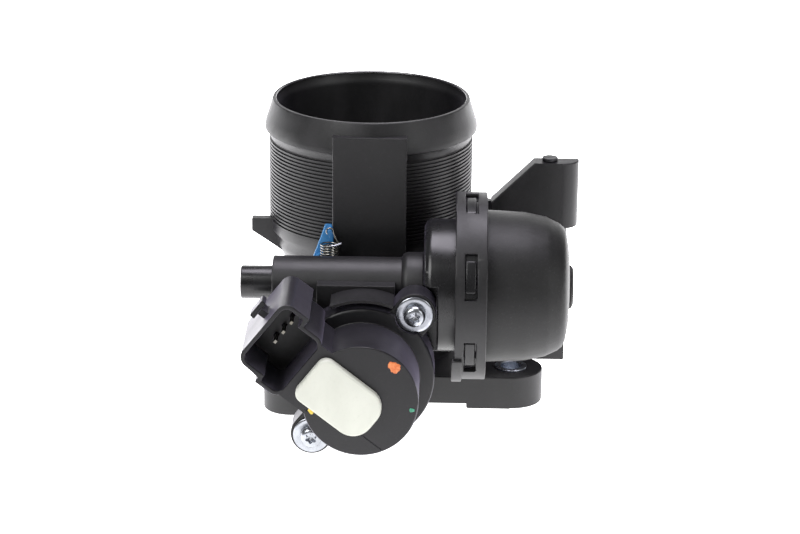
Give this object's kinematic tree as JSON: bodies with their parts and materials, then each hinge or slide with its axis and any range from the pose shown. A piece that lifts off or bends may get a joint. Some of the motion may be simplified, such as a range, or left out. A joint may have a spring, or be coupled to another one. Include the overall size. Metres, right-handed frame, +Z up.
{
  "type": "throttle body",
  "caption": "Vacuum-operated throttle body: ribbed inlet duct, butterfly on a rack and sector drive, diaphragm capsule and rotary position sensor.",
  "frame": {"origin": "duct axis at the mounting face, which is the plane the flange lugs rest on", "axes": "+Z up along the duct to the inlet rim; -Y towards the sensor and connector; +X towards the vacuum capsule"},
  "size_m": [0.1031, 0.1442, 0.092],
  "materials": {
    "black_moulding": "satin",
    "gloss_black_moulding": "semi gloss",
    "blue_moulding": "gloss",
    "white_moulding": "satin",
    "gear_resin": "satin",
    "piston_resin": "satin",
    "zinc_steel": "zinc plated",
    "ground_steel": "ground",
    "dark_steel": "blackened",
    "spring_wire": "drawn wire",
    "plate_brass": "rolled",
    "bearing_bronze": "sintered",
    "rubber": "matte",
    "seal_red": "matte",
    "magnet_grey": "sintered",
    "board_green": "satin",
    "tinned_contact": "tin plated"
  },
  "bodies": {
    "body": {"throttle_housing": "black_moulding", "mounting_sleeves": "zinc_steel", "flange_seal": "rubber", "bracket_stud": "dark_steel", "front_bearing": "bearing_bronze", "rear_bearing": "bearing_bronze", "gear_end_bush": "bearing_bronze", "shaft_seal": "rubber", "rear_bore_plug": "zinc_steel", "take_up_spring": "spring_wire", "spring_hanger": "blue_moulding", "vent_nipple": "black_moulding", "capsule_base": "gloss_black_moulding", "lock_ring": "black_moulding", "capsule_cover": "black_moulding", "cover_plug": "rubber", "vacuum_nipple": "black_moulding", "diaphragm": "rubber", "capsule_spring": "spring_wire", "sensor_body": "black_moulding", "sensor_cover": "black_moulding", "sensor_vent_cap": "white_moulding", "sensor_seal": "seal_red", "sensor_board": "board_green", "connector_pins": "tinned_contact", "sensor_screws": "zinc_steel", "sensor_washers": "zinc_steel", "sensor_sleeves": "zinc_steel"},
    "throttle": {"throttle_shaft": "ground_steel", "throttle_plate": "plate_brass", "plate_screws": "ground_steel", "sector_gear": "gear_resin", "gear_nut": "zinc_steel", "spring_lever": "ground_steel", "sensor_rotor": "piston_resin", "rotor_magnet": "magnet_grey"},
    "rack": {"rack_rod": "gear_resin", "diaphragm_plate": "zinc_steel", "diaphragm_piston": "piston_resin", "rod_nut": "zinc_steel"}
  },
  "joints": [
    {"name": "throttle_turn", "type": "hinge", "parent": "body", "child": "throttle", "pos_m": [0, 0, 0.026], "axis": [0, 1, 0], "range_deg": [0, 80], "stiffness_Nm_per_rad": 0.05, "springref_deg": -22.92, "deforming": ["take_up_spring"]},
    {"name": "rack_slide", "type": "slide", "parent": "body", "child": "rack", "axis": [1, 0, 0], "range_m": [0, 0.01956], "deforming": ["capsule_spring", "diaphragm"]}
  ],
  "couplings": [
    {"joint": "rack_slide", "follows": "throttle_turn", "m_per_rad": 0.014}
  ]
}
